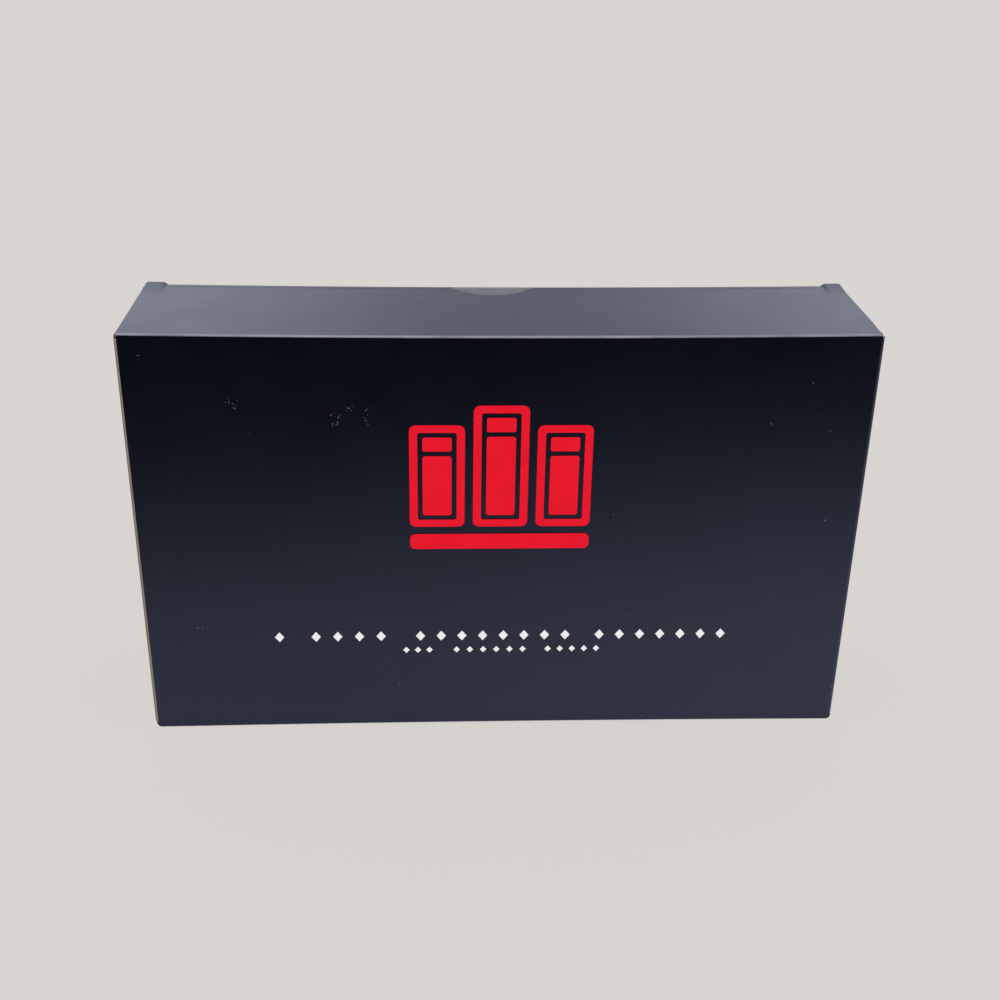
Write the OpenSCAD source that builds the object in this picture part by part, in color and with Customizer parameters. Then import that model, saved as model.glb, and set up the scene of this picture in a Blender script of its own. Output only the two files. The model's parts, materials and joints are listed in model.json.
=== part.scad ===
// Boxed trading card display: a straight tuck carton of printed board, and inside it, held by two
// foam end caps, an upright display with three slots for graded cards. Millimetres. The carton
// stands on its base panel. The origin is the middle of its footprint, the front faces -Y, +Z is up.

/* [Carton] */
// Thickness of the board
board_t = 1.2; // [0.8:0.1:1.3]
// Outside radius of the upright folds between the walls
fold_r = 1.8; // [1.5:0.1:2.5]
// How far the raw edge of the front panel stays short of the left corner
seam_setback = 1.1; // [0.5:0.1:4]
// Width of the glue flap behind the front panel
glue_flap_w = 19; // [12:1:30]
// How much shorter the free edge of the glue flap is, at each end
glue_flap_taper = 5; // [2:0.5:10]

/* [Closures] */
// Length of the tuck flaps
tuck_l = 15; // [14.5:0.5:18]
// How far the tuck flaps lean into the carton, in degrees
tuck_lean = 10; // [6:1:14]
// Gap between the end of a tuck flap and the lid corner beside it
tuck_end_gap = 3.3; // [1:0.1:12]
// Radius of the corners of a tuck flap
tuck_corner_r = 7; // [2:0.5:7]
// Width of the lid corners beside the slits that lock the lid
ear_w = 8.4; // [5:0.1:9]
// Length of lid that curls up at those corners
ear_l = 12; // [6:0.5:20]
// How steeply the lid corners curl up, in degrees
ear_curl = 6; // [0:0.5:8]
// How far a dust flap reaches in from its wall
dust_l = 48; // [30:1:55]
// Distance that the front edge of a dust flap draws back for each millimetre of reach
dust_taper = 0.5; // [0.5:0.01:0.6]
// Space between the lid's crease and the front edge of a dust flap
dust_shy = 2; // [1.9:0.1:3]
// Space kept free round a tuck flap, by the dust flaps and the foam
tuck_space = 1.5; // [1:0.1:3]
// Corner cuts on a dust flap
dust_corner = 5; // [1:0.5:8]

/* [Finger notch] */
// Width of the half-moon cut in the lid, along its rear crease
notch_w = 41; // [25:1:50]
// Depth of the cut into the lid
notch_lid_d = 11; // [6:0.5:14]
// Depth of the cut into the tuck flap
notch_tuck_d = 8; // [4:0.5:9]
// Distance of the cut from the middle of the lid, to the right
notch_x = -1.5; // [-10:0.5:10]

/* [Board gaps] */
// Gap between a crease's round edge and the panel that it turns on
crease_gap = 0.2; // [0.15:0.05:0.4]
// Gap between layers of board that move past each other
layer_gap = 0.3; // [0.25:0.05:0.5]

/* [Foam end caps] */
// Length of an end cap, along the carton
foam_l = 24; // [18:1:40]
// Foam under the display
foam_floor = 4; // [3:0.5:8]
// Foam over the display
foam_head = 8.7; // [4:0.1:20]
// Foam beyond the ends of the display
foam_end = 6.2; // [3:0.1:20]
// Foam in front of the display's base and behind it
foam_side = 4; // [3:0.1:12]
// Gap round a foam end cap, to the board outside and to the display inside
foam_gap = 0.3; // [0.2:0.05:0.6]

/* [Display] */
// Width of one slot, for a graded card case
slot_w = 84; // [70:0.5:100]
// Depth of a slot, between the two plates
slot_d = 8; // [6.5:0.1:12]
// Width of the end spacers and dividers between the slots
spacer_w = 8; // [7:0.5:9]
// Thickness of the clear front plate
front_plate_t = 3; // [2:0.5:5]
// Thickness of the back plate
back_plate_t = 4; // [2:0.5:6]
// Height of both plates
plate_h = 152; // [120:1:200]
// Radius of the finger notches at the top of the plates
plate_notch_r = 12; // [8:0.5:14]
// Height of the rail at the foot of the slots
rail_h = 10; // [9:0.5:14]
// Thickness of the felt pads
pad_t = 1; // [0.5:0.1:2]
// Gap between a felt pad and the sides of its slot
pad_gap = 0.2; // [0.1:0.05:0.6]

/* [Display base] */
// Depth of the base block, front to back
base_d = 52; // [44:1:80]
// Height of the base block
base_h = 16; // [13:0.5:17]
// Depth of the groove that holds the plates
groove_depth = 8; // [6:0.5:9]
// Play of the plates in the groove and of the rail between them, on each side
plate_play = 0.05; // [0.02:0.01:0.1]
// Bevel along the top edges of the base
base_bevel = 2; // [0.5:0.5:4]
// Radius of a rubber foot
foot_r = 6; // [4:0.5:8]
// Height of a rubber foot
foot_h = 2; // [1:0.5:3]
// Distance of the feet from the ends and sides of the base
foot_inset = 10; // [9:0.5:12]

/* [Fasteners] */
// Radius of the head of a barrel bolt or nut
cap_r = 3.5; // [3:0.1:3.5]
// Height of that head
cap_h = 1.5; // [1:0.1:2]
// Outside radius of the barrel
barrel_r = 2; // [1.8:0.1:2.4]
// Radius of the bolt inside the barrel
bolt_r = 1.3; // [1:0.05:1.4]
// Length of that bolt
bolt_l = 9; // [6:0.5:12]
// Play of a round fastener in its hole, on the radius
hole_play = 0.05; // [0.02:0.01:0.1]
// Distance of the first and last barrel bolts from the ends of a spacer
bolt_end = 12; // [8:1:30]
// Number of barrel bolts on one spacer
bolt_rows = 3; // [2:1:4]
// Radius of a base screw
screw_r = 1.5; // [1.2:0.1:1.8]
// Radius of its countersunk head
screw_head_r = 3.2; // [2.6:0.1:3.6]
// Length of a base screw
screw_l = 14; // [12:0.5:15]
// Number of base screws
screw_count = 4; // [2:1:6]
// Distance of the first and last base screws from the ends of the base
screw_end = 40; // [25:1:60]

/* [Hidden] */
$fn = 48;

half_t = board_t / 2;

// The display: three slots between two end spacers, with dividers between them.
display_w = 3 * slot_w + 4 * spacer_w;
stack_d = front_plate_t + slot_d + back_plate_t;

// The carton is made to fit: display, foam, gaps and board add up to its size.
closed_end = 2 * board_t + layer_gap + foam_gap;      // from outside a closed end to the foam
foam_low = closed_end;
foot_z = foam_low + foam_floor;
base_z = foot_z + foot_h;
base_top = base_z + base_h;
groove_z = base_top - groove_depth;
plate_top = groove_z + plate_h;
foam_top = plate_top + foam_gap + foam_head;
carton_h = foam_top + closed_end;
foam_x = display_w / 2 + foam_gap + foam_end;
half_w = foam_x + foam_gap + board_t;
foam_y = base_d / 2 + foam_gap + foam_side;
half_d = foam_y + foam_gap + 2 * board_t;             // the glue flap doubles the board

// Creases: each lies at mid-thickness, where the round edge of the moving panel is centred.
lid_crease_y = half_t - half_d;
lid_crease_z = carton_h - half_t;
tuck_crease_y = half_d - board_t - layer_gap - half_t;
dust_crease_x = half_w - half_t;
dust_crease_z = lid_crease_z - board_t - layer_gap;

// Walls stop short of the round edges above and below them.
wall_top = lid_crease_z - half_t - crease_gap;
wall_low = carton_h - wall_top;
side_top = dust_crease_z - half_t - crease_gap;
side_low = carton_h - side_top;
glue_y = board_t - half_d;                 // outer face of the glue flap

lid_half_w = half_w - layer_gap;
lid_end_y = tuck_crease_y - half_t - crease_gap;
tuck_half_w = lid_half_w - ear_w - tuck_end_gap;
dust_front_y = lid_crease_y + dust_shy;
tuck_space_y = tuck_crease_y - tuck_l * sin(tuck_lean) - half_t - tuck_space;
tuck_space_z = lid_crease_z - tuck_l - tuck_space;
shoulder_y = half_d - fold_r - layer_gap;
shoulder_l = dust_crease_x - tuck_half_w - tuck_space;

// A circle through the ends of a chord and the bottom of the arc below it.
function arc_r(chord, depth) = (pow(chord / 2, 2) + pow(depth, 2)) / (2 * depth);
notch_lid_r = arc_r(notch_w, notch_lid_d);
notch_tuck_r = arc_r(notch_w, notch_tuck_d);
crease_edge_y = tuck_crease_y + half_t;

// The display's plates, from front to back, and what stands between them.
rail_top = groove_z + rail_h;
front_face_y = -stack_d / 2;
slot_front_y = front_face_y + front_plate_t;
slot_back_y = slot_front_y + slot_d;
back_face_y = slot_back_y + back_plate_t;
slot_pitch = slot_w + spacer_w;
spacer_x = [for (i = [-1.5:1:1.5]) i * slot_pitch];
slot_x = [for (i = [-1:1:1]) i * slot_pitch];
spacer_h = plate_top - rail_top;
bolt_z = [for (i = [0:bolt_rows - 1])
          rail_top + bolt_end + i * (spacer_h - 2 * bolt_end) / (bolt_rows - 1)];
screw_x = [for (i = [0:screw_count - 1])
           (i / (screw_count - 1) - 0.5) * (display_w - 2 * screw_end)];
head_h = screw_head_r - screw_r;

print_blue = [0.11, 0.12, 0.17];
raw_board = [0.76, 0.68, 0.55];
foam_white = [0.94, 0.94, 0.92];
base_black = [0.07, 0.07, 0.08];
clear_plastic = [0.82, 0.88, 0.92, 0.4];
smoke_plastic = [0.12, 0.12, 0.14];
steel = [0.72, 0.73, 0.75];
felt_grey = [0.28, 0.28, 0.31];
rubber_black = [0.09, 0.09, 0.09];

// ---- shared shapes ----

// A box between two corners.
module block(low, high) {
    translate(low) cube(high - low);
}

// A quarter of bent board between two walls; sx and sy point to its corner.
module upright_fold(x, y, sx, sy, low, top) {
    translate([x, y, low]) intersection() {
        difference() {
            cylinder(r = fold_r, h = top - low);
            translate([0, 0, -1]) cylinder(r = fold_r - board_t, h = top - low + 2);
        }
        translate([sx > 0 ? 0 : -fold_r, sy > 0 ? 0 : -fold_r, 0]) cube([fold_r, fold_r, top - low]);
    }
}

// The round edge on which a panel turns, along X.
module crease_edge_x(half_l, y, z) {
    translate([0, y, z]) rotate([0, 90, 0]) cylinder(r = half_t, h = 2 * half_l, center = true);
}

// A tab outline from 0 to -l along Y, with two round corners at its free end.
module tab_outline(half_l, l, r) {
    translate([-half_l, r - l]) square([2 * half_l, l - r]);
    translate([r - half_l, -l]) square([2 * (half_l - r), l]);
    for (side = [-1, 1]) translate([side * (half_l - r), r - l]) circle(r = r);
}

module at_bottom() {
    translate([0, 0, carton_h]) mirror([0, 0, 1]) children();
}

module at_left() {
    mirror([1, 0, 0]) children();
}

// ---- closures, drawn for the top ----

// The flat panel that closes an end of the carton; its two rear corners curl up by an angle.
module closing_panel(curl) {
    ear_y = half_d - ear_l;
    crease_edge_x(lid_half_w, lid_crease_y, lid_crease_z);
    block([-lid_half_w, lid_crease_y, lid_crease_z - half_t],
          [lid_half_w, ear_y, lid_crease_z + half_t]);
    block([ear_w - lid_half_w, ear_y, lid_crease_z - half_t],
          [lid_half_w - ear_w, lid_end_y, lid_crease_z + half_t]);
    for (x = [-lid_half_w, lid_half_w - ear_w])
        translate([x, ear_y, lid_crease_z]) rotate([curl, 0, 0])
            translate([0, -half_t * sin(curl), -half_t]) cube([ear_w, ear_l, board_t]);
}

// The flap that tucks in behind the back panel.
module tuck_flap() {
    translate([0, tuck_crease_y, lid_crease_z]) rotate([90 - tuck_lean, 0, 0]) {
        crease_edge_x(tuck_half_w, 0, 0);
        translate([0, 0, -half_t]) linear_extrude(board_t)
            tab_outline(tuck_half_w, tuck_l, tuck_corner_r);
    }
}

// The flap that folds in from the right wall, under the closing panel.
module dust_flap() {
    reach_y = dust_front_y + dust_taper * dust_l;
    corner_y = dust_front_y + dust_taper * (dust_l - dust_corner);
    translate([dust_crease_x, 0, dust_crease_z - half_t]) linear_extrude(board_t) polygon([
        [0, dust_front_y],
        [0, shoulder_y],
        [1 - shoulder_l, shoulder_y],
        [-shoulder_l, tuck_space_y],
        [dust_corner - dust_l, tuck_space_y],
        [-dust_l, tuck_space_y - dust_corner],
        [-dust_l, reach_y + dust_corner / 2],
        [dust_corner - dust_l, corner_y]
    ]);
    translate([dust_crease_x, dust_front_y, dust_crease_z]) rotate([-90, 0, 0])
        cylinder(r = half_t, h = shoulder_y - dust_front_y);
}

// ---- carton walls ----

module front_panel() {
    color(print_blue) {
        block([seam_setback - half_w, -half_d, wall_low], [half_w - fold_r, board_t - half_d, wall_top]);
        upright_fold(half_w - fold_r, fold_r - half_d, 1, -1, wall_low, wall_top);
    }
}

module back_panel() {
    color(print_blue) {
        block([fold_r - half_w, half_d - board_t, wall_low], [half_w - fold_r, half_d, wall_top]);
        for (side = [-1, 1])
            upright_fold(side * (half_w - fold_r), half_d - fold_r, side, 1, wall_low, wall_top);
    }
}

module right_side_panel() {
    color(print_blue)
        block([half_w - board_t, fold_r - half_d, side_low], [half_w, half_d - fold_r, side_top]);
}

module left_side_panel() {
    color(print_blue)
        block([-half_w, glue_y + fold_r, side_low], [board_t - half_w, half_d - fold_r, side_top]);
}

module glue_flap() {
    color(raw_board) {
        translate([fold_r - half_w, glue_y + board_t, 0]) rotate([90, 0, 0])
            linear_extrude(board_t) polygon([
                [0, side_low],
                [glue_flap_w, side_low + glue_flap_taper],
                [glue_flap_w, side_top - glue_flap_taper],
                [0, side_top]
            ]);
        upright_fold(fold_r - half_w, glue_y + fold_r, -1, -1, side_low, side_top);
    }
}

// ---- top and bottom closures ----

module lid_panel() {
    color(print_blue) difference() {
        closing_panel(ear_curl);
        translate([notch_x, crease_edge_y - notch_lid_d + notch_lid_r, lid_crease_z])
            cylinder(r = notch_lid_r, h = 4 * board_t, center = true, $fn = 96);
    }
}

module lid_tuck_flap() {
    color(print_blue) difference() {
        tuck_flap();
        translate([notch_x, tuck_crease_y, lid_crease_z]) rotate([90 - tuck_lean, 0, 0])
            translate([0, notch_tuck_r - notch_tuck_d, 0])
                cylinder(r = notch_tuck_r, h = 4 * board_t, center = true, $fn = 96);
    }
}

module top_right_dust_flap() {
    color(print_blue) dust_flap();
}

module top_left_dust_flap() {
    color(print_blue) at_left() dust_flap();
}

module base_panel() {
    color(print_blue) at_bottom() closing_panel(0);
}

module base_tuck_flap() {
    color(print_blue) at_bottom() tuck_flap();
}

module bottom_right_dust_flap() {
    color(print_blue) at_bottom() dust_flap();
}

module bottom_left_dust_flap() {
    color(print_blue) at_bottom() at_left() dust_flap();
}

// ---- foam end caps ----

// The corner of an end cap that is cut away where a tuck flap comes down, drawn for the top.
module tuck_room(inner_x) {
    block([inner_x - 1, tuck_space_y, tuck_space_z], [tuck_half_w + tuck_space, half_d, carton_h]);
}

module end_cap() {
    inner_x = foam_x - foam_l;
    end_x = display_w / 2 + foam_gap;
    base_y = base_d / 2 + foam_gap;
    stack_y = stack_d / 2 + cap_h + foam_gap;
    difference() {
        block([inner_x, -foam_y, foam_low], [foam_x, foam_y, foam_top]);
        block([inner_x - 1, -base_y, foot_z], [end_x, base_y, base_top + foam_gap]);
        block([inner_x - 1, -stack_y, base_top], [end_x, stack_y, plate_top + foam_gap]);
        tuck_room(inner_x);
        at_bottom() tuck_room(inner_x);
    }
}

module right_end_cap() {
    color(foam_white) end_cap();
}

module left_end_cap() {
    color(foam_white) at_left() end_cap();
}

// ---- display ----

module display_base() {
    groove_y = stack_d / 2 + plate_play;
    color(base_black) difference() {
        translate([-display_w / 2, 0, 0]) rotate([90, 0, 90]) linear_extrude(display_w) polygon([
            [-base_d / 2, base_z],
            [base_d / 2, base_z],
            [base_d / 2, base_top - base_bevel],
            [base_d / 2 - base_bevel, base_top],
            [base_bevel - base_d / 2, base_top],
            [-base_d / 2, base_top - base_bevel]
        ]);
        block([-display_w, -groove_y, groove_z], [display_w, groove_y, base_top + 1]);
        for (x = screw_x) translate([x, 0, base_z]) {
            translate([0, 0, -1]) cylinder(r = screw_r + hole_play, h = base_h);
            screw_head(hole_play);
        }
    }
}

module rubber_feet() {
    foot_x = display_w / 2 - foot_inset;
    foot_y = base_d / 2 - foot_inset;
    color(rubber_black) for (x = [-foot_x, foot_x], y = [-foot_y, foot_y])
        translate([x, y, foot_z]) cylinder(r = foot_r, h = foot_h);
}

// A countersunk head whose flat face is at z = 0; play widens it for its seat.
module screw_head(play) {
    translate([0, 0, -play]) cylinder(r1 = screw_head_r + play, r2 = screw_r + play, h = head_h + play);
}

module base_screws() {
    color(steel) for (x = screw_x) translate([x, 0, base_z]) {
        screw_head(0);
        cylinder(r = screw_r, h = screw_l);
    }
}

module slot_rail() {
    color(smoke_plastic) difference() {
        block([-display_w / 2, slot_front_y + plate_play, groove_z],
              [display_w / 2, slot_back_y - plate_play, rail_top]);
        for (x = screw_x) translate([x, 0, base_z])
            cylinder(r = screw_r + hole_play, h = screw_l + hole_play);
    }
}

module felt_pads() {
    color(felt_grey) for (x = slot_x)
        block([x - slot_w / 2 + pad_gap, slot_front_y + pad_gap, rail_top],
              [x + slot_w / 2 - pad_gap, slot_back_y - pad_gap, rail_top + pad_t]);
}

// A plate with a finger notch over each slot and a hole for each barrel bolt.
module slotted_plate(front_y, back_y) {
    difference() {
        block([-display_w / 2, front_y, groove_z], [display_w / 2, back_y, plate_top]);
        for (x = slot_x) translate([x, back_y + 1, plate_top]) rotate([90, 0, 0])
            cylinder(r = plate_notch_r, h = back_y - front_y + 2);
        barrel_holes(front_y, back_y);
    }
}

module barrel_holes(front_y, back_y) {
    for (x = spacer_x, z = bolt_z) translate([x, back_y + 1, z]) rotate([90, 0, 0])
        cylinder(r = barrel_r + hole_play, h = back_y - front_y + 2);
}

module back_plate() {
    color(smoke_plastic) slotted_plate(slot_back_y, back_face_y);
}

module front_plate() {
    color(clear_plastic) slotted_plate(front_face_y, slot_front_y);
}

module spacer(x) {
    color(smoke_plastic) difference() {
        block([x - spacer_w / 2, slot_front_y, rail_top], [x + spacer_w / 2, slot_back_y, plate_top]);
        barrel_holes(slot_front_y, slot_back_y);
    }
}

module left_end_spacer() {
    spacer(spacer_x[0]);
}

module left_divider() {
    spacer(spacer_x[1]);
}

module right_divider() {
    spacer(spacer_x[2]);
}

module right_end_spacer() {
    spacer(spacer_x[3]);
}

// Bolts go in from the front and turn into nuts whose barrels fill the holes from behind.
module barrel_bolts() {
    color(steel) for (x = spacer_x, z = bolt_z) translate([x, front_face_y, z]) rotate([-90, 0, 0]) {
        translate([0, 0, -cap_h]) cylinder(r = cap_r, h = cap_h);
        cylinder(r = bolt_r, h = bolt_l);
    }
}

module barrel_nuts() {
    color(steel) for (x = spacer_x, z = bolt_z) translate([x, back_face_y, z]) rotate([90, 0, 0]) {
        translate([0, 0, -cap_h]) cylinder(r = cap_r, h = cap_h);
        difference() {
            cylinder(r = barrel_r, h = stack_d - 2 * hole_play);
            translate([0, 0, 1]) cylinder(r = bolt_r + hole_play, h = stack_d);
        }
    }
}

front_panel();
back_panel();
left_side_panel();
right_side_panel();
glue_flap();
lid_panel();
lid_tuck_flap();
top_left_dust_flap();
top_right_dust_flap();
base_panel();
base_tuck_flap();
bottom_left_dust_flap();
bottom_right_dust_flap();
left_end_cap();
right_end_cap();
display_base();
rubber_feet();
base_screws();
slot_rail();
felt_pads();
back_plate();
front_plate();
left_end_spacer();
left_divider();
right_divider();
right_end_spacer();
barrel_bolts();
barrel_nuts();
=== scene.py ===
# A printed tuck carton, closed as sold, with a three-slot card display packed inside it.
import json
import math

import bmesh
import bpy
from mathutils import Quaternion, Vector
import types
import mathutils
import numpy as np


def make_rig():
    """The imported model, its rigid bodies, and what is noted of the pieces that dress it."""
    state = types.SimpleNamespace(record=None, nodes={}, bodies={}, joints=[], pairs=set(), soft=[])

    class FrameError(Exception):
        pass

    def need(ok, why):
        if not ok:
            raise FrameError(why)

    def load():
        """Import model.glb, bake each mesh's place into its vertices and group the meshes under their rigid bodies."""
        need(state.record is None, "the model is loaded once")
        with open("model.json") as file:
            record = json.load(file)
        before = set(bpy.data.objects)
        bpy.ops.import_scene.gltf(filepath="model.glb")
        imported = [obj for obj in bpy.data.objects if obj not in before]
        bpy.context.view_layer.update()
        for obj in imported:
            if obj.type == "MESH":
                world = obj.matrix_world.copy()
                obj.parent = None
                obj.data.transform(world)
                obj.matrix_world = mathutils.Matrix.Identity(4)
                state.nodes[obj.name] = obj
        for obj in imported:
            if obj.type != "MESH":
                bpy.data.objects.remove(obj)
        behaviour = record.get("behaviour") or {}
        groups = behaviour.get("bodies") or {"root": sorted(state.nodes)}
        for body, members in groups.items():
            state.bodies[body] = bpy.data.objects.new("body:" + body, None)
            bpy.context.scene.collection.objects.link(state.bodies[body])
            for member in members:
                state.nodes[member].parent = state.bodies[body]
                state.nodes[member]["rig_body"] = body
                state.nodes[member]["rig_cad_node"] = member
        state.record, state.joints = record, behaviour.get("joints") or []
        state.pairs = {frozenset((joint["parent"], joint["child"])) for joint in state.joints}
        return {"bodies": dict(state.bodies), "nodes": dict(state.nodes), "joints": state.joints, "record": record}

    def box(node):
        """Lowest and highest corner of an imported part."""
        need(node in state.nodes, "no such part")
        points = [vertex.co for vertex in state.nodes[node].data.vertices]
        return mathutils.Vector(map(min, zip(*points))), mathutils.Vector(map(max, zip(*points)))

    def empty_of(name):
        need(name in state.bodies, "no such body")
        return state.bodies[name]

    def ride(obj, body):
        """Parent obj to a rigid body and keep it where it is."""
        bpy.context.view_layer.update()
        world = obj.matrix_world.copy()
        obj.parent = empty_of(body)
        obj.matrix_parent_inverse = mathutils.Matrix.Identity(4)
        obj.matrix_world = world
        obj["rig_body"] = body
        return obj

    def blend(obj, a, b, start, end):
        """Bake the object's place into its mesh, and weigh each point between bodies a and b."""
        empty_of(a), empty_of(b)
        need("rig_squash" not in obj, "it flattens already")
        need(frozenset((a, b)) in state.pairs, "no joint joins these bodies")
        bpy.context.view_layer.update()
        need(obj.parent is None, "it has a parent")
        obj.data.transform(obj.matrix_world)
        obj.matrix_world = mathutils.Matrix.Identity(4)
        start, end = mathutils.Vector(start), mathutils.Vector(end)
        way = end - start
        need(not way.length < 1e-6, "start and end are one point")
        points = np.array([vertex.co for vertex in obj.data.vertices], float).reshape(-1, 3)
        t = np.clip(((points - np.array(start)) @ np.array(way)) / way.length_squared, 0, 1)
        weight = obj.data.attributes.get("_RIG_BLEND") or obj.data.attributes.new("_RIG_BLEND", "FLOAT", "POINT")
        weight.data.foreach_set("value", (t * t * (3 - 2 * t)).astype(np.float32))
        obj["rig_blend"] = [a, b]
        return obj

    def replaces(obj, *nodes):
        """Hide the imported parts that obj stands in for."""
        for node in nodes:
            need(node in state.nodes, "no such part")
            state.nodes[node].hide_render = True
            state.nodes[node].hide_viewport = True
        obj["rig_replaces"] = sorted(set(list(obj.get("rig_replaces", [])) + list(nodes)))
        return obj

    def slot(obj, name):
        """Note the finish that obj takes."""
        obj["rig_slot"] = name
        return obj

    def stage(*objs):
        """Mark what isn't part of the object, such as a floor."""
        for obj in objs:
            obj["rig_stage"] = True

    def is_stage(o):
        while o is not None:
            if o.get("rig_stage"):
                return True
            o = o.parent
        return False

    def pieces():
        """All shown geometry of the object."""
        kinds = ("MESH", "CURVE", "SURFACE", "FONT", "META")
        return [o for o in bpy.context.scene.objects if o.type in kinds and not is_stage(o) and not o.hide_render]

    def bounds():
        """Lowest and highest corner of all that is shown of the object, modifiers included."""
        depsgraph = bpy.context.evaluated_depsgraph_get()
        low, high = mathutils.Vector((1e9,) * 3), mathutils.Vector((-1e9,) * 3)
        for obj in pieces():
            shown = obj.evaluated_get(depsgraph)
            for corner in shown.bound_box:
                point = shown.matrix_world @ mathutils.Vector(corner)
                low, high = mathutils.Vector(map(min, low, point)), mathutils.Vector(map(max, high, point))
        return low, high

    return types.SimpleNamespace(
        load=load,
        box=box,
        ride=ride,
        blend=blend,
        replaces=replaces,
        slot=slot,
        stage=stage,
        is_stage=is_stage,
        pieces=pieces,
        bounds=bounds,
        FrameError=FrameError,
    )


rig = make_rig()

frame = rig.load()
cadLow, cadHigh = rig.bounds()
nodes = frame["nodes"]
mm = 0.001

# the camera, fitted to the corners of the carton

cameraSettings = {
    "place": (-0.027635, -0.543603, 0.359615),
    "aim": (-0.000348, -0.033115, 0.110135),
    "roll": 1.0757,         # degrees, the horizon drops to the right
    "lens": 50.11,
}


def placeCamera(settings):
    camera = bpy.data.objects.new("camera", bpy.data.cameras.new("camera"))
    bpy.context.scene.collection.objects.link(camera)
    bpy.context.scene.camera = camera
    camera.data.lens = settings["lens"]
    camera.data.sensor_width = 36
    place, aim = Vector(settings["place"]), Vector(settings["aim"])
    camera.rotation_mode = "QUATERNION"
    camera.location = place
    level = (aim - place).to_track_quat("-Z", "Y")
    camera.rotation_quaternion = level @ Quaternion((0, 0, 1), math.radians(settings["roll"]))


placeCamera(cameraSettings)
print("camera placed")

# helpers for the finishes


def addNode(tree, kind, inputs=None, **settings):
    made = tree.nodes.new("ShaderNode" + kind)
    for name, value in settings.items():
        setattr(made, name, value)
    for name, value in (inputs or {}).items():
        if isinstance(value, bpy.types.NodeSocket):
            tree.links.new(value, made.inputs[name])
        else:
            made.inputs[name].default_value = value
    return made


def newFinish(name, **sockets):
    finish = bpy.data.materials.new(name)
    finish.use_nodes = True
    shader = finish.node_tree.nodes["Principled BSDF"]
    for socket, value in sockets.items():
        shader.inputs[socket.replace("_", " ")].default_value = value
    return finish, finish.node_tree, shader


def pattern(tree, scale, detail=3, stretch=(1, 1, 1), roughness=0.5):
    # Noise on the object's own coordinates; scale is in marks per metre.
    place = addNode(tree, "TexCoord").outputs["Object"]
    turned = addNode(tree, "Mapping", {"Vector": place, "Scale": stretch}).outputs["Vector"]
    return addNode(tree, "TexNoise", {
        "Vector": turned, "Scale": scale, "Detail": detail, "Roughness": roughness,
    }).outputs["Fac"]


def spread(tree, value, low, high, outLow=0.0, outHigh=1.0):
    return addNode(tree, "MapRange", {
        "Value": value, "From Min": low, "From Max": high, "To Min": outLow, "To Max": outHigh,
    }).outputs["Result"]


def sums(tree, operation, first, second):
    made = addNode(tree, "Math", operation=operation)
    for socket, value in zip(made.inputs, (first, second)):
        if isinstance(value, bpy.types.NodeSocket):
            tree.links.new(value, socket)
        else:
            socket.default_value = value
    return made.outputs[0]


def mixColour(tree, amount, first, second):
    made = addNode(tree, "Mix", data_type="RGBA")
    for index, value in ((0, amount), (6, first), (7, second)):
        if isinstance(value, bpy.types.NodeSocket):
            tree.links.new(value, made.inputs[index])
        else:
            made.inputs[index].default_value = value
    return made.outputs[2]


def relief(tree, shader, height, depth, strength=1.0):
    bump = addNode(tree, "Bump", {"Height": height, "Distance": depth, "Strength": strength})
    tree.links.new(bump.outputs["Normal"], shader.inputs["Normal"])


# finishes of the carton

printSettings = {
    "ink": (0.0002, 0.0008, 0.0060, 1),
    "inkPale": (0.0010, 0.0018, 0.0082, 1),
    # pale blue-grey for wear along folds and creases; on the lid's front crease it is a painted highlight
    "worn": (0.27, 0.27, 0.355, 1),
    "dust": (0.32, 0.32, 0.35, 1),
    "gloss": 0.31,
    "glossSpread": 0.02,
    "specks": 1500.0,       # places for a speck in a metre
    "stray": 0.0003,        # share of them that hold a speck, away from the dusty places
    "dustHere": (           # middle and radius in millimetres, then how much of it is dusty
        ((-66.5, -33, 146), 3.6, 0.5),
        ((-60.2, -33, 150.5), 2.4, 0.4),
        ((-107, -33, 152), 4.0, 0.14),
        ((-52, -33, 147), 5.0, 0.07),
        ((-65.5, -33, 127.4), 0.6, 0.8),
        ((-72.4, -33, 65.5), 0.6, 0.8),
        ((108.4, -33, 143.6), 0.9, 1.0),
        ((125, -33, 162), 8.0, 0.02),
        ((132.9, -33, 139.1), 2.0, 0.07),
        ((136.1, -33, 100.3), 1.1, 1.0),
        ((-128, -33, 52), 4.5, 0.12),
        ((102.6, -20.6, 181.2), 0.9, 1.0),
        ((23.5, -12.3, 180.6), 0.7, 1.0),
    ),
}


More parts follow.
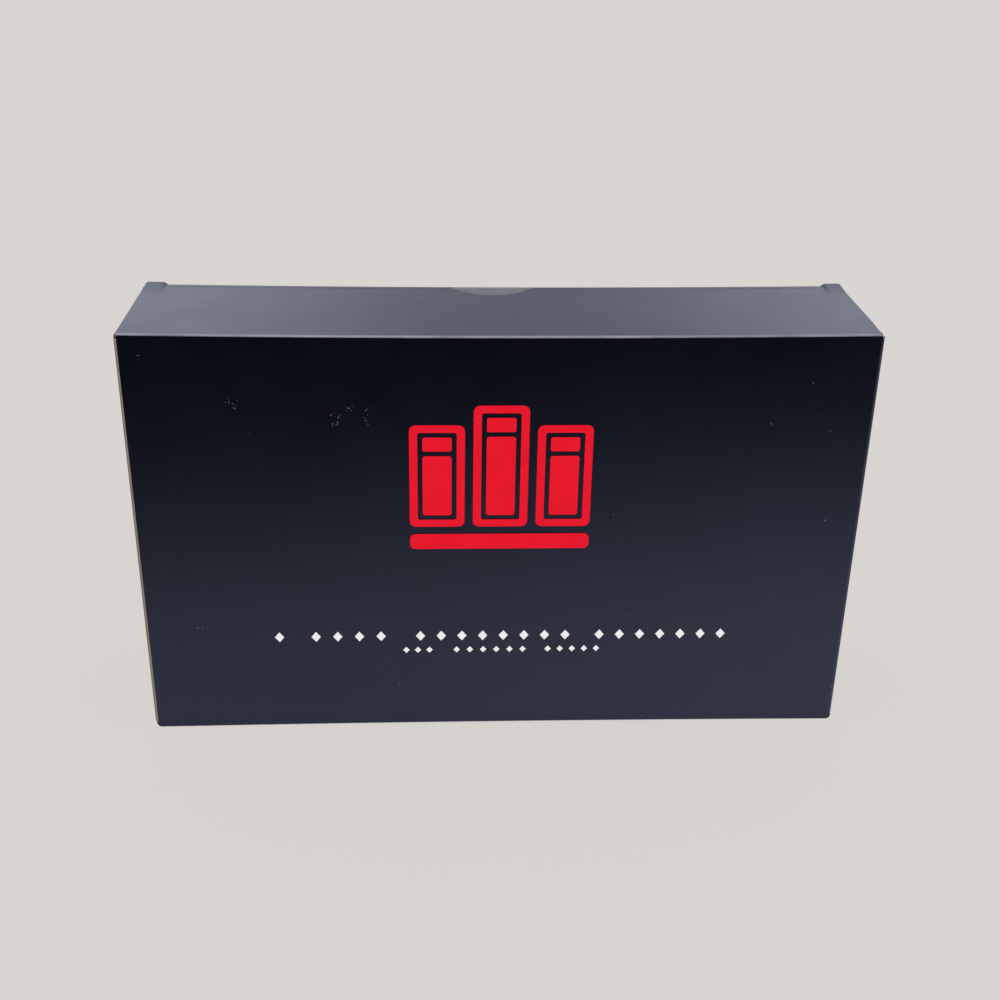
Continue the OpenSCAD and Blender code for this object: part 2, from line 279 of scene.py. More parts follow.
def printedBoard(settings):
    finish, tree, shader = newFinish("printedBoard", Roughness=settings["gloss"], IOR=1.5)
    cloud = pattern(tree, 16, 4)
    colour = mixColour(tree, spread(tree, cloud, 0.35, 0.7), settings["ink"], settings["inkPale"])

    # a few specks anywhere, and more of them in the dusty places
    place = addNode(tree, "TexCoord").outputs["Object"]
    cells = addNode(tree, "TexVoronoi", {"Vector": place, "Scale": settings["specks"]})
    drawn = addNode(tree, "SeparateColor", {"Color": cells.outputs["Color"]})
    density = settings["stray"]
    for middle, radius, dense in settings["dustHere"]:
        away = addNode(tree, "VectorMath", {0: place, 1: Vector(middle) * mm}, operation="DISTANCE")
        patch = spread(tree, away.outputs["Value"], radius * mm, 0.5 * radius * mm, 0, dense)
        density = sums(tree, "ADD", density, patch)
    chosen = sums(tree, "LESS_THAN", drawn.outputs[0], density)
    size = spread(tree, drawn.outputs[1], 0, 1, 0.12, 0.42)
    dot = sums(tree, "LESS_THAN", cells.outputs["Distance"], size)
    speck = sums(tree, "MULTIPLY", sums(tree, "MULTIPLY", dot, chosen),
                 spread(tree, drawn.outputs[2], 0, 1, 0.15, 0.9))
    colour = mixColour(tree, speck, colour, settings["dust"])

    # the coating is worn pale along folds and creases; the same pale blue-grey, at full strength on the lid's front
    # crease, is a painted highlight
    wear = addNode(tree, "Attribute", attribute_name="wear").outputs["Fac"]
    streaks = spread(tree, pattern(tree, 260, 3, (0.25, 1, 1)), 0.25, 0.75, 0.55, 1.1)
    patchy = spread(tree, pattern(tree, 12, 3), 0.3, 0.7, 0.75, 1.0)
    worn = sums(tree, "MULTIPLY", sums(tree, "MULTIPLY", wear, streaks), patchy)
    colour = mixColour(tree, sums(tree, "MINIMUM", worn, 1.0), colour, settings["worn"])
    tree.links.new(colour, shader.inputs["Base Color"])

    dull, least = settings["gloss"] + settings["glossSpread"], settings["gloss"] - settings["glossSpread"]
    gloss = spread(tree, pattern(tree, 55, 4), 0.3, 0.7, least, dull)
    rough = sums(tree, "ADD", gloss, sums(tree, "MULTIPLY", worn, 0.15))
    tree.links.new(rough, shader.inputs["Roughness"])
    grain = sums(tree, "ADD", pattern(tree, 1400, 2), pattern(tree, 160, 2))
    relief(tree, shader, grain, 0.02 * mm, 0.3)
    return finish


linerColours = {
    "deep": (0.26, 0.277, 0.327, 1),
    "pale": (0.328, 0.348, 0.41, 1),
    "fleck": (0.16, 0.14, 0.12, 1),
}


def boardLiner(colours):
    finish, tree, shader = newFinish("boardLiner", Roughness=0.85)
    fibres = pattern(tree, 900, 4, (0.2, 1, 1))
    flecks = spread(tree, pattern(tree, 2600, 2), 0.66, 0.74)
    colour = mixColour(tree, spread(tree, fibres, 0.3, 0.7), colours["deep"], colours["pale"])
    colour = mixColour(tree, sums(tree, "MULTIPLY", flecks, 0.5), colour, colours["fleck"])
    tree.links.new(colour, shader.inputs["Base Color"])
    relief(tree, shader, fibres, 0.03 * mm, 0.6)
    return finish


rawSettings = {
    "dark": (0.17, 0.135, 0.10, 1),
    "light": (0.33, 0.28, 0.225, 1),
    "fuzz": (0.40, 0.36, 0.31, 1),
    "plies": 11.4,          # radians of the ply pattern across the board
    "phase": 0.355,
}


def rawBoard(settings):
    # Cut board: plies in lines along the edge, read from how deep a point lies in the board.
    finish, tree, shader = newFinish("rawBoard", Roughness=0.9)
    depth = addNode(tree, "Attribute", attribute_name="boardDepth").outputs["Fac"]
    wave = spread(tree, pattern(tree, 220, 3), 0.2, 0.8, -0.08, 0.08)
    across = sums(tree, "MULTIPLY", sums(tree, "ADD", depth, wave), settings["plies"])
    plies = sums(tree, "SINE", sums(tree, "SUBTRACT", across, settings["phase"]), 0.0)
    colour = mixColour(tree, spread(tree, plies, -1, 1), settings["dark"], settings["light"])
    fuzz = pattern(tree, 1500, 3)
    colour = mixColour(tree, spread(tree, fuzz, 0.35, 0.65, 0, 0.35), colour, settings["fuzz"])
    tree.links.new(colour, shader.inputs["Base Color"])
    relief(tree, shader, fuzz, 0.06 * mm, 0.7)
    return finish


def printedInk(name, colour, shade):
    finish, tree, shader = newFinish(name, Roughness=0.4, Specular_IOR_Level=0.15)
    blotch = spread(tree, pattern(tree, 90, 4), 0.3, 0.75)
    tree.links.new(mixColour(tree, blotch, colour, shade), shader.inputs["Base Color"])
    relief(tree, shader, pattern(tree, 1400, 2), 0.02 * mm, 0.3)
    return finish


# finishes of the display and its packing


def packingFoam():
    finish, tree, shader = newFinish("packingFoam", Roughness=0.92)
    place = addNode(tree, "TexCoord").outputs["Object"]
    cells = addNode(tree, "TexVoronoi", {"Vector": place, "Scale": 620.0}, feature="DISTANCE_TO_EDGE")
    # the cells are darker at their edges, where the relief sinks: painted shade in the grooves between them
    fromCellEdge = spread(tree, cells.outputs["Distance"], 0.0, 0.18)
    colour = mixColour(tree, fromCellEdge, (0.66, 0.66, 0.64, 1), (0.86, 0.86, 0.84, 1))
    tree.links.new(colour, shader.inputs["Base Color"])
    relief(tree, shader, fromCellEdge, 0.25 * mm, 0.6)
    return finish


def blackWood():
    finish, tree, shader = newFinish("blackWood", Roughness=0.42)
    grain = pattern(tree, 240, 5, (0.06, 1, 1), 0.62)
    dark, light = (0.006, 0.006, 0.007, 1), (0.020, 0.019, 0.020, 1)
    colour = mixColour(tree, spread(tree, grain, 0.3, 0.7), dark, light)
    tree.links.new(colour, shader.inputs["Base Color"])
    tree.links.new(spread(tree, grain, 0.3, 0.7, 0.36, 0.52), shader.inputs["Roughness"])
    relief(tree, shader, grain, 0.08 * mm, 0.5)
    return finish


def acrylic(name, low, high, clear=0.0):
    finish, tree, shader = newFinish(name, Roughness=0.06, IOR=1.49, Transmission_Weight=clear)
    haze = pattern(tree, 22, 3)
    tree.links.new(mixColour(tree, haze, low, high), shader.inputs["Base Color"])
    scratch = pattern(tree, 500, 2, (0.05, 1, 1))
    tree.links.new(spread(tree, scratch, 0.45, 0.8, 0.05, 0.16), shader.inputs["Roughness"])
    return finish


def feltCloth():
    finish, tree, shader = newFinish("greyFelt", Roughness=0.95, Sheen_Weight=0.4)
    fibres = pattern(tree, 2400, 5, (0.4, 1, 1), 0.7)
    dark, light = (0.045, 0.045, 0.052, 1), (0.12, 0.12, 0.13, 1)
    colour = mixColour(tree, spread(tree, fibres, 0.3, 0.7), dark, light)
    tree.links.new(colour, shader.inputs["Base Color"])
    relief(tree, shader, fibres, 0.2 * mm, 0.8)
    return finish


def moulded(name, low, high, roughness):
    finish, tree, shader = newFinish(name, Roughness=roughness)
    grain = pattern(tree, 1100, 3)
    tree.links.new(mixColour(tree, grain, low, high), shader.inputs["Base Color"])
    relief(tree, shader, grain, 0.04 * mm, 0.5)
    return finish


def platedSteel():
    finish, tree, shader = newFinish("platedSteel", Roughness=0.2, Metallic=1.0)
    turned = pattern(tree, 1800, 2, (1, 0.1, 1))
    colour = mixColour(tree, turned, (0.50, 0.50, 0.52, 1), (0.66, 0.66, 0.68, 1))
    tree.links.new(colour, shader.inputs["Base Color"])
    tree.links.new(spread(tree, turned, 0.3, 0.7, 0.16, 0.3), shader.inputs["Roughness"])
    return finish


finishes = {
    "print": printedBoard(printSettings),
    "liner": boardLiner(linerColours),
    "raw": rawBoard(rawSettings),
    "red": printedInk("redInk", (0.84, 0.0036, 0.022, 1), (0.77, 0.0030, 0.019, 1)),
    "white": printedInk("whiteInk", (0.92, 0.92, 0.93, 1), (0.84, 0.84, 0.86, 1)),
    "foam": packingFoam(),
    "wood": blackWood(),
    "black": acrylic("blackAcrylic", (0.008, 0.008, 0.010, 1), (0.013, 0.013, 0.015, 1)),
    "clear": acrylic("clearAcrylic", (0.93, 0.96, 0.97, 1), (0.97, 0.98, 0.99, 1), 1.0),
    "felt": feltCloth(),
    "rubber": moulded("blackRubber", (0.010, 0.010, 0.010, 1), (0.026, 0.026, 0.026, 1), 0.75),
    "steel": platedSteel(),
}
print("finishes mixed")

# the carton's board, and how it bows

board = {
    "thick": 1.2 * mm,
    "fold": 1.8 * mm,       # outside radius of the upright folds
    "foldCuts": 6,
    "rim": 0.12 * mm,       # how far a cut edge is softened
    "strip": 15 * mm,       # board is cut into strips this wide so that it can bow
    "sag": 1.05 * mm,       # the lid and the top edges hang a little in the middle
    "rise": 0.8 * mm,       # and the bottom edges lift a little
    "bow": 0.3 * mm,        # the front swells a little in the middle
    "crown": 0.5 * mm,      # the front edge of the lid stands higher than its rear
    # how far the left edge is pressed in, at what height, and how far up and down from there
    "dent": (0.9 * mm, 55 * mm, 75 * mm),
    "foldWear": 0.02,
    # radius of the knocked bottom corners, and how far out they stand, left and right
    "knocked": ((2.6 * mm, 149.1 * mm), (2.3 * mm, 149.7 * mm)),
}

backLow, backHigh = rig.box("back_panel")
frontLow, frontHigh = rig.box("front_panel")
glueLow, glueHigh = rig.box("glue_flap")
halfW, halfD = backHigh.x, backHigh.y
joints = {joint["name"]: Vector(joint["pos_m"]) for joint in frame["joints"]}
lidCrease, tuckCrease = joints["lid_crease"], joints["lid_tuck_crease"]
dustCrease = joints["top_right_flap_crease"]
cartonTop = lidCrease.z + board["thick"] / 2
cartonPieces = []


def settle(piece):
    # Bows the board as a full carton does, and presses in its left edge and its bottom corners.
    pressed, height, reach = board["dent"]
    for vertex in piece.data.vertices:
        place = vertex.co
        across = max(0.0, 1 - (place.x / halfW) ** 2)
        up = min(max(place.z / cartonTop, 0.0), 1.0)
        if place.y < board["thick"] - halfD + 0.1 * mm:
            place.y -= board["bow"] * across * 4 * up * (1 - up)
        place.z += across * (board["rise"] * (1 - up) ** 2 - board["sag"] * up ** 2)
        place.z += board["crown"] * up * (halfD - place.y) / (2 * halfD)
        if place.x < board["fold"] - halfW:
            near = max(0.0, 1 - ((place.z - height) / reach) ** 2)
            place.x += pressed * near ** 2 * max(0.0, -place.y / halfD)
        radius, edge = board["knocked"][0 if place.x < 0 else 1]
        inward, upward = radius - edge + abs(place.x), radius - place.z
        if place.y < 0 and inward > 0 and upward > 0:
            squeeze = max(inward, upward) / math.hypot(inward, upward)
            place.x = math.copysign(edge - radius + inward * squeeze, place.x)
            place.z = radius - upward * squeeze


def wallPath():
    # The walls unrolled: each run is a length on the outside, and whether it is a fold.
    arc = math.pi / 2 * board["fold"]
    front = halfW - board["fold"] - frontLow.x
    side = 2 * (halfD - board["fold"])
    back = 2 * (halfW - board["fold"])
    left = halfD - board["fold"] - (glueLow.y + board["fold"])
    flap = glueHigh.x - (board["fold"] - halfW)
    return [(front, False), (arc, True), (side, False), (arc, True), (back, False),
            (arc, True), (left, False), (arc, True), (flap, False)]


def alongWall(distance, depth):
    # Where a point lies that far along the outside of the walls and that deep in the board.
    place, heading = Vector((frontLow.x, -halfD)), 0.0
    for length, isFold in wallPath():
        step = min(max(distance, 0.0), length)
        if isFold:
            turn = step / board["fold"]
            centre = place + board["fold"] * Vector((-math.sin(heading), math.cos(heading)))
            heading += turn
            place = centre + board["fold"] * Vector((math.sin(heading), -math.cos(heading)))
        else:
            place = place + step * Vector((math.cos(heading), math.sin(heading)))
        distance -= step
        if distance <= 1e-9:
            break
    return place + depth * Vector((-math.sin(heading), math.cos(heading)))


def runStart(index):
    return sum(length for length, isFold in wallPath()[:index])


def cutBoard(name, outline, cuts, crease=None, chamfer=None, joined=()):
    # A flat piece of board: printed side up, liner below, raw edge round the rim.
    # At the x places in joined the board runs on in the next piece, and the edge stays sharp.
    shape = bmesh.new()
    shape.faces.new([shape.verts.new((u, v, 0)) for u, v in outline])
    for at, normal in cuts:
        everything = shape.verts[:] + shape.edges[:] + shape.faces[:]
        bmesh.ops.bisect_plane(shape, geom=everything, plane_co=at, plane_no=normal, dist=1e-7)
    raised = bmesh.ops.extrude_face_region(shape, geom=shape.faces[:])
    top = [part for part in raised["geom"] if isinstance(part, bmesh.types.BMVert)]
    bmesh.ops.translate(shape, verts=top, vec=(0, 0, board["thick"]))
    bmesh.ops.recalc_face_normals(shape, faces=shape.faces[:])
    for face in shape.faces:
        face.material_index = 0 if face.normal.z > 0.5 else 1 if face.normal.z < -0.5 else 2

    def rimEdges(test):
        return [edge for edge in shape.edges
                if edge.calc_face_angle(0) > 0.8
                and abs(edge.verts[0].co.z - edge.verts[1].co.z) < 1e-7
                and all(test(vert.co) for vert in edge.verts)]

    if chamfer is not None:
        # the printed side is cut back along one edge, and shows the plies
        offset, test = chamfer
        cut = bmesh.ops.bevel(
            shape, geom=rimEdges(lambda co: test(co) and co.z > board["thick"] / 2),
            offset=offset, offset_type="OFFSET", affect="EDGES", segments=2, profile=0.5,
            material=-1, clamp_overlap=True)
        for face in cut["faces"]:
            face.material_index = 2
    if crease is not None:
        # the edge on the crease is round
        bmesh.ops.bevel(
            shape, geom=rimEdges(lambda co: abs(co.y - crease) < 1e-6),
            offset=0.49 * board["thick"], offset_type="OFFSET", affect="EDGES", segments=4,
            profile=0.5, material=0, clamp_overlap=True)
    sharp = [edge for edge in shape.edges if edge.calc_face_angle(0) > 0.8
             and not any(all(abs(vert.co.x - at) < 1e-6 for vert in edge.verts) for at in joined)]
    bmesh.ops.bevel(shape, geom=sharp, offset=board["rim"], offset_type="OFFSET",
                    affect="EDGES", segments=1, profile=0.5, material=2, clamp_overlap=True)
    depth = shape.verts.layers.float.new("boardDepth")
    shape.verts.layers.float.new("wear")
    for vert in shape.verts:
        vert[depth] = vert.co.z / board["thick"]
    mesh = bpy.data.meshes.new(name)
    shape.to_mesh(mesh)
    shape.free()
    for finish in ("print", "liner", "raw"):
        mesh.materials.append(finishes[finish])
    return mesh


def strips(low, high, step=board["strip"]):
    count = max(1, round((high - low) / step))
    return [((low + (high - low) * i / count, 0, 0), (1, 0, 0)) for i in range(1, count)]


def finishPiece(name, mesh, place, node, body=None):
    # Puts each point of a flat mesh where it belongs on the carton.
    for vertex in mesh.vertices:
        vertex.co = place(vertex.co.copy())
    return keepPiece(name, mesh, node, body)


def keepPiece(name, mesh, node=None, body=None, slotName="printed_board"):
    shape = bmesh.new()
    shape.from_mesh(mesh)
    bmesh.ops.recalc_face_normals(shape, faces=shape.faces[:])
    shape.to_mesh(mesh)
    shape.free()
    mesh.shade_smooth()
    mesh.set_sharp_from_angle(angle=math.radians(32))
    piece = bpy.data.objects.new(name, mesh)
    bpy.context.scene.collection.objects.link(piece)
    flat = piece.modifiers.new("flatFaces", "WEIGHTED_NORMAL")
    flat.keep_sharp = True
    flat.weight = 100
    if node:
        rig.replaces(piece, node)
    if body or node:
        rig.ride(piece, body or nodes[node]["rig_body"])
    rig.slot(piece, slotName)
    return piece


# walls, folded from one strip

walls = {
    "backTop": 1.0 * mm,        # the back wall stands this much higher, and fills the finger notch,
    "backSlope": 9 * mm,        # but slopes down this close to its ends
    "chamfer": 0.85 * mm,       # printed side cut back along the seam
    "corner": 1.6 * mm,         # round corner at the top of the seam
    "footCorner": 0.5 * mm,
    "lidRoom": 0.9 * mm,        # the front's top is cut lower by this at its ends, for the lid's swing,
    "lidRoomFrom": 112 * mm,    # from this far from the middle
    "lidRoomTo": 0.55 * mm,     # to this far into the right fold
    "flapRoom": 0.5 * mm,       # the side panels' tops are this much lower at the front
    "glueTaper": 5 * mm,        # the glue flap's free edge is this much shorter at each end
    "glueCorner": 2 * mm,
    "glueFold": 0.15,           # share of its fold that ends higher, clear of the dust flap's crease
}


def roundCorner(corner, before, after, radius, steps=4):
    # Points round a corner of an outline.
    toBefore, toAfter = (before - corner).normalized(), (after - corner).normalized()
    half = (toBefore.angle(toAfter)) / 2
    reach = radius / math.tan(half)
    centre = corner + (toBefore + toAfter).normalized() * radius / math.sin(half)
    start, end = corner + toBefore * reach - centre, corner + toAfter * reach - centre
    turn = start.angle_signed(end)
    made = []
    for i in range(steps + 1):
        angle = -turn * i / steps
        made.append(centre + Vector((start.x * math.cos(angle) - start.y * math.sin(angle),
                                     start.x * math.sin(angle) + start.y * math.cos(angle))))
    return made


def softOutline(corners):
    # An outline from (x, y, radius) corners; a radius of 0 stays sharp.
    made = []
    for i, (x, y, radius) in enumerate(corners):
        before = Vector(corners[i - 1][:2])
        after = Vector(corners[(i + 1) % len(corners)][:2])
        corner = Vector((x, y))
        made += roundCorner(corner, before, after, radius) if radius else [corner]
    return [(point.x, point.y) for point in made]


def foldCuts(index):
    start = runStart(index)
    length = wallPath()[index][0]
    return [((start + length * i / board["foldCuts"], 0, 0), (1, 0, 0))
            for i in range(board["foldCuts"] + 1)]


def makeWall(name, node, first, last, low, high, folds, corners=None, chamfer=None, joined=()):
    start, end = runStart(first), runStart(last + 1)
    cuts = [cut for index in folds for cut in foldCuts(index)]
    for index in range(first, last + 1):
        if index not in folds:
            cuts += strips(runStart(index), runStart(index + 1))
    cuts = [cut for cut in cuts if start + 1e-6 < cut[0][0] < end - 1e-6]
    outline = softOutline(corners or [(start, low, 0), (end, low, 0), (end, high, 0), (start, high, 0)])
    mesh = cutBoard(name, outline, cuts, chamfer=chamfer, joined=joined)
    wear = mesh.attributes["wear"].data
    spans = [(runStart(index), runStart(index + 1)) for index in folds]
    for vertex in mesh.vertices:
        inFold = any(begin + 1e-5 < vertex.co.x < stop - 1e-5 for begin, stop in spans)
        printed = vertex.co.z > board["thick"] / 2
        wear[vertex.index].value = board["foldWear"] if inFold and printed else 0

    def place(point):
        flat = alongWall(point.x, board["thick"] - point.z)
        return Vector((flat.x, flat.y, point.y))

    piece = finishPiece(name, mesh, place, node)
    cartonPieces.append(piece)
    return piece


frontTop, frontFoot = frontHigh.z, frontLow.z
sideLow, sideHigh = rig.box("right_side_panel")
soft = walls["corner"]
frontEnd, backStart, backEnd, flapStart = runStart(2), runStart(3), runStart(6), runStart(7)
# the tops are cut lower under the raised ends of the lid, so that it can swing over
lower, middle = walls["lidRoom"], walls["lidRoomFrom"] - frontLow.x
stepIn = runStart(1) + walls["lidRoomTo"]
frontPanel = makeWall("frontPanel", "front_panel", 0, 1, frontFoot, frontTop, [1], corners=[
    (0, frontFoot, walls["footCorner"]), (frontEnd, frontFoot, 0), (frontEnd, frontTop, 0),
    (stepIn, frontTop, 0), (stepIn, frontTop - lower, 0), (middle, frontTop, 0),
    (-2 * frontLow.x - middle, frontTop, 0), (0, frontTop - lower, soft - lower)],
    chamfer=(walls["chamfer"], lambda co: co.x < soft + 0.1 * mm), joined=[frontEnd])
# the rim at the fold's top end takes the print finish, not raw board, so that it shows dark there
for polygon in frontPanel.data.polygons:
    if polygon.center.x > halfW - board["fold"] and polygon.center.z > frontTop - lower:
        polygon.material_index = 0
flapRoom = walls["flapRoom"]
makeWall("rightSidePanel", "right_side_panel", 2, 2, sideLow.z, sideHigh.z, [], corners=[
    (frontEnd, sideLow.z, 0), (backStart, sideLow.z, 0), (backStart, sideHigh.z, 0),
    (frontEnd, sideHigh.z - flapRoom, 0)], joined=[frontEnd, backStart])
slope = walls["backSlope"]
backTop = backHigh.z + walls["backTop"]
makeWall("backPanel", "back_panel", 3, 5, backLow.z, backTop, [3, 5], corners=[
    (backStart, backLow.z, 0), (backEnd, backLow.z, 0), (backEnd, backHigh.z, 0),
    (backEnd - slope, backTop, 0), (backStart + slope, backTop, 0), (backStart, backHigh.z, 0)],
    joined=[backStart, backEnd])
makeWall("leftSidePanel", "left_side_panel", 6, 6, sideLow.z, sideHigh.z, [], corners=[
    (backEnd, sideLow.z, 0), (flapStart, sideLow.z, 0), (flapStart, sideHigh.z - flapRoom, 0),
    (backEnd, sideHigh.z, 0)], joined=[backEnd, flapStart])
flapEnd = runStart(9)
flapTaper, flapCorner = walls["glueTaper"], walls["glueCorner"]
flapLow, flapHigh = glueLow.z, glueHigh.z
fold = walls["glueFold"] * (runStart(8) - flapStart)
makeWall("glueFlap", "glue_flap", 7, 8, flapLow, flapHigh, [7], corners=[
    (flapStart, flapLow, 0), (flapStart + fold, flapLow, 0), (flapStart + fold, frontFoot, 0),
    (runStart(8), frontFoot, 0), (flapEnd, flapLow + flapTaper, flapCorner),
    (flapEnd, flapHigh - flapTaper, flapCorner), (runStart(8), flapHigh, 0), (flapStart, flapHigh, 0)])
bpy.data.objects["glueFlap"].data.materials[0] = finishes["raw"]
print("walls folded")

# lid, base and their flaps

closures = {
    # left edge, right edge, and where the right edge starts at the front
    "lidEdges": (-148.45 * mm, 148.9 * mm, 148.4 * mm),
    "baseEdges": (-149.1 * mm, 149.6 * mm, 149.2 * mm),
    "trimLength": 14 * mm,  # over this length it runs out to the right edge proper
    "earInner": (-139.1 * mm, 140.1 * mm),  # where the curled corners end
    "rearCorner": 1.2 * mm,
    "earLength": 15 * mm,
    "earCurl": 0.68 * mm,
    "earBend": 1.6,         # how late the curl sets in
    "earRamp": 2.4 * mm,    # the curl grows over this width
    "earCorner": 2.2 * mm,
    "notchHalf": 16.8 * mm,     # half the finger notch's width at the crease
    "notchLid": 11 * mm,    # how deep it is cut into the lid
    "notchTuck": 8 * mm,    # and into the tuck flap
    "notchX": -2.3 * mm,
    "lean": 10,             # degrees, the tuck flaps lean inwards
    "tuckLength": 15 * mm,
    "tuckCorner": 7 * mm,
    "gap": 0.2 * mm,        # between a panel and the round edge of its tuck flap
    "endCut": 0.45 * mm,    # how close the cuts near an end lie
}


def flipDown(point):
    return Vector((point.x, point.y, cartonTop - point.z))


def keepPoint(point):
    return point


def arcOutline(middle, half, depth, steps=22):
    # A shallow arc from the right to the left of a notch, cut downwards.
    radius = (half ** 2 + depth ** 2) / (2 * depth)
    sweep = math.asin(half / radius)
    top = middle[1] + radius - depth
    angles = [sweep * (1 - 2 * i / steps) for i in range(steps + 1)]
    return [(middle[0] + radius * math.sin(angle), top - radius * math.cos(angle), 0)
            for angle in angles]


def cornerCuts(end):
    # Close cuts near an end, so that a knocked corner comes out round.
    side = -1 if end < 0 else 1
    return [((end - side * i * closures["endCut"], 0, 0), (1, 0, 0)) for i in range(1, 6)]


def makeClosingPanel(name, node, edges, curl, notched, turn):
    left, right, frontRight = edges
    innerLeft, innerRight = closures["earInner"]
    rearCorner, earCorner = closures["rearCorner"], closures["earCorner"]
    earLength, ramp = closures["earLength"], closures["earRamp"]
    front, rear = -halfD, halfD
    plateEnd = tuckCrease.y - board["thick"] / 2 - closures["gap"]
    curlStart = rear - earLength
    notch = []
    if notched:
        edge = tuckCrease.y + board["thick"] / 2
        reach = closures["notchLid"] - (edge - plateEnd)
        radius = (closures["notchHalf"] ** 2 + closures["notchLid"] ** 2) / (2 * closures["notchLid"])
        halfHere = math.sqrt(radius ** 2 - (radius - reach) ** 2)
        notch = arcOutline((closures["notchX"], plateEnd), halfHere, reach)
    outline = softOutline([
        (left, front, 0), (frontRight, front, 0), (right, front + closures["trimLength"], 0),
        (right, rear, rearCorner), (innerRight, rear, earCorner), (innerRight, plateEnd, 0), *notch,
        (innerLeft, plateEnd, 0), (innerLeft, rear, earCorner), (left, rear, rearCorner)])
    cuts = strips(left, right) + cornerCuts(left) + cornerCuts(right)
    cuts += [((0, curlStart + earLength * i / 7, 0), (0, 1, 0)) for i in range(7)]
    cuts += [((inner + side * ramp * i / 4, 0, 0), (1, 0, 0))
             for inner, side in ((innerLeft, -1), (innerRight, 1)) for i in range(5)]
    mesh = cutBoard(name, outline, cuts, crease=front)

    def place(point):
        past = max(point.x - innerRight, innerLeft - point.x)
        bend = (max(0.0, point.y - curlStart) / earLength) ** closures["earBend"]
        bent = curl * min(max(past / ramp, 0.0), 1.0) * bend
        return turn(Vector((point.x, point.y, cartonTop - board["thick"] + point.z + bent)))

    piece = finishPiece(name, mesh, place, node)
    cartonPieces.append(piece)
    return piece


def makeTuckFlap(name, node, notched, turn):
    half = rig.box(node)[1].x
    length, corner = closures["tuckLength"], closures["tuckCorner"]
    top = board["thick"] / 2
    notch = []
    if notched:
        arc = arcOutline((closures["notchX"], 0), closures["notchHalf"], closures["notchTuck"])
        notch = [(arc[0][0], top, 0), *arc, (arc[-1][0], top, 0)]
    outline = softOutline([
        (-half, -length, corner), (half, -length, corner), (half, top, 0), *notch, (-half, top, 0)])
    mesh = cutBoard(name, outline, strips(-half, half), crease=top)
    lean = math.radians(closures["lean"])
    along = Vector((0, math.sin(lean), math.cos(lean)))
    outward = Vector((0, math.cos(lean), -math.sin(lean)))
    axis = Vector((0, tuckCrease.y, tuckCrease.z))

    def place(point):
        flat = axis + along * point.y + outward * (point.z - board["thick"] / 2)
        return turn(flat + Vector((point.x, 0, 0)))

    piece = finishPiece(name, mesh, place, node)
    cartonPieces.append(piece)
    return piece


dustFlaps = {
    "front": 2.7 * mm,      # how far behind the lid's crease they start
    "rearGap": 0.3 * mm,
    "reach": 48 * mm,
    "flare": 9.9 * mm,      # past here they are cut back, to leave room for the tuck flap
    "shoulderDrop": 1 * mm,
    "tuckRoom": 26.2 * mm,
    "shoulderCorner": 0.6 * mm,
    "corner": 5 * mm,
    "taper": 0.5,
    "cuts": (12 * mm, 24 * mm),
}


def makeDustFlap(name, node, side, turn):
    # Outline in (distance along the crease, reach); the flap is drawn for the right wall.
    half, reach, corner = board["thick"] / 2, dustFlaps["reach"], dustFlaps["corner"]
    front, flare = lidCrease.y + dustFlaps["front"], dustFlaps["flare"]
    shoulder, small = halfD - board["fold"] - dustFlaps["rearGap"], dustFlaps["shoulderCorner"]
    tuckRoom = dustFlaps["tuckRoom"]
    outline = softOutline([
        (front, -half, 0), (shoulder, -half, 0), (shoulder, flare - dustFlaps["shoulderDrop"], small),
        (tuckRoom, flare, small), (tuckRoom, reach, corner),
        (front + dustFlaps["taper"] * reach, reach, corner)])
    mesh = cutBoard(name, outline, [((0, cut, 0), (0, 1, 0)) for cut in dustFlaps["cuts"]], crease=-half)

    def place(point):
        x = side * (dustCrease.x - point.y)
        return turn(Vector((x, point.x, dustCrease.z - half + point.z)))

    piece = finishPiece(name, mesh, place, node)
    cartonPieces.append(piece)
    return piece


makeClosingPanel("lidPanel", "lid_panel", closures["lidEdges"], closures["earCurl"], True, keepPoint)
makeClosingPanel("basePanel", "base_panel", closures["baseEdges"], 0, False, flipDown)
makeTuckFlap("lidTuckFlap", "lid_tuck_flap", True, keepPoint)
makeTuckFlap("baseTuckFlap", "base_tuck_flap", False, flipDown)
for side, word in ((1, "right"), (-1, "left")):
    makeDustFlap("top%sDustFlap" % word.title(), "top_%s_dust_flap" % word, side, keepPoint)
    makeDustFlap("bottom%sDustFlap" % word.title(), "bottom_%s_dust_flap" % word, side, flipDown)
print("closures cut")

# the skin over each crease

creases = {
    "proud": 0.03 * mm,     # the creased skin lies this far outside the board
    "skin": 0.12 * mm,
    "flat": 2.1 * mm,       # how far it runs on past the round part
    "fade": 0.25 * mm,      # how far past it the wear and painted highlight fade out
    "steps": 8,
    # how much of the wear and painted highlight colour each crease takes; the lid's front crease takes it in full, as
    # a painted highlight
    "lidWear": 1.0,
    "baseWear": 0.05,
    "tuckWear": 0.15,
    "dustWear": 0.3,
    "endCut": 0.4 * mm,     # how close the cuts near an end lie
    # how far the skin stops short of the panel's left end, and runs past its right end at the front
    "insets": (0.1 * mm, 0.32 * mm),
}


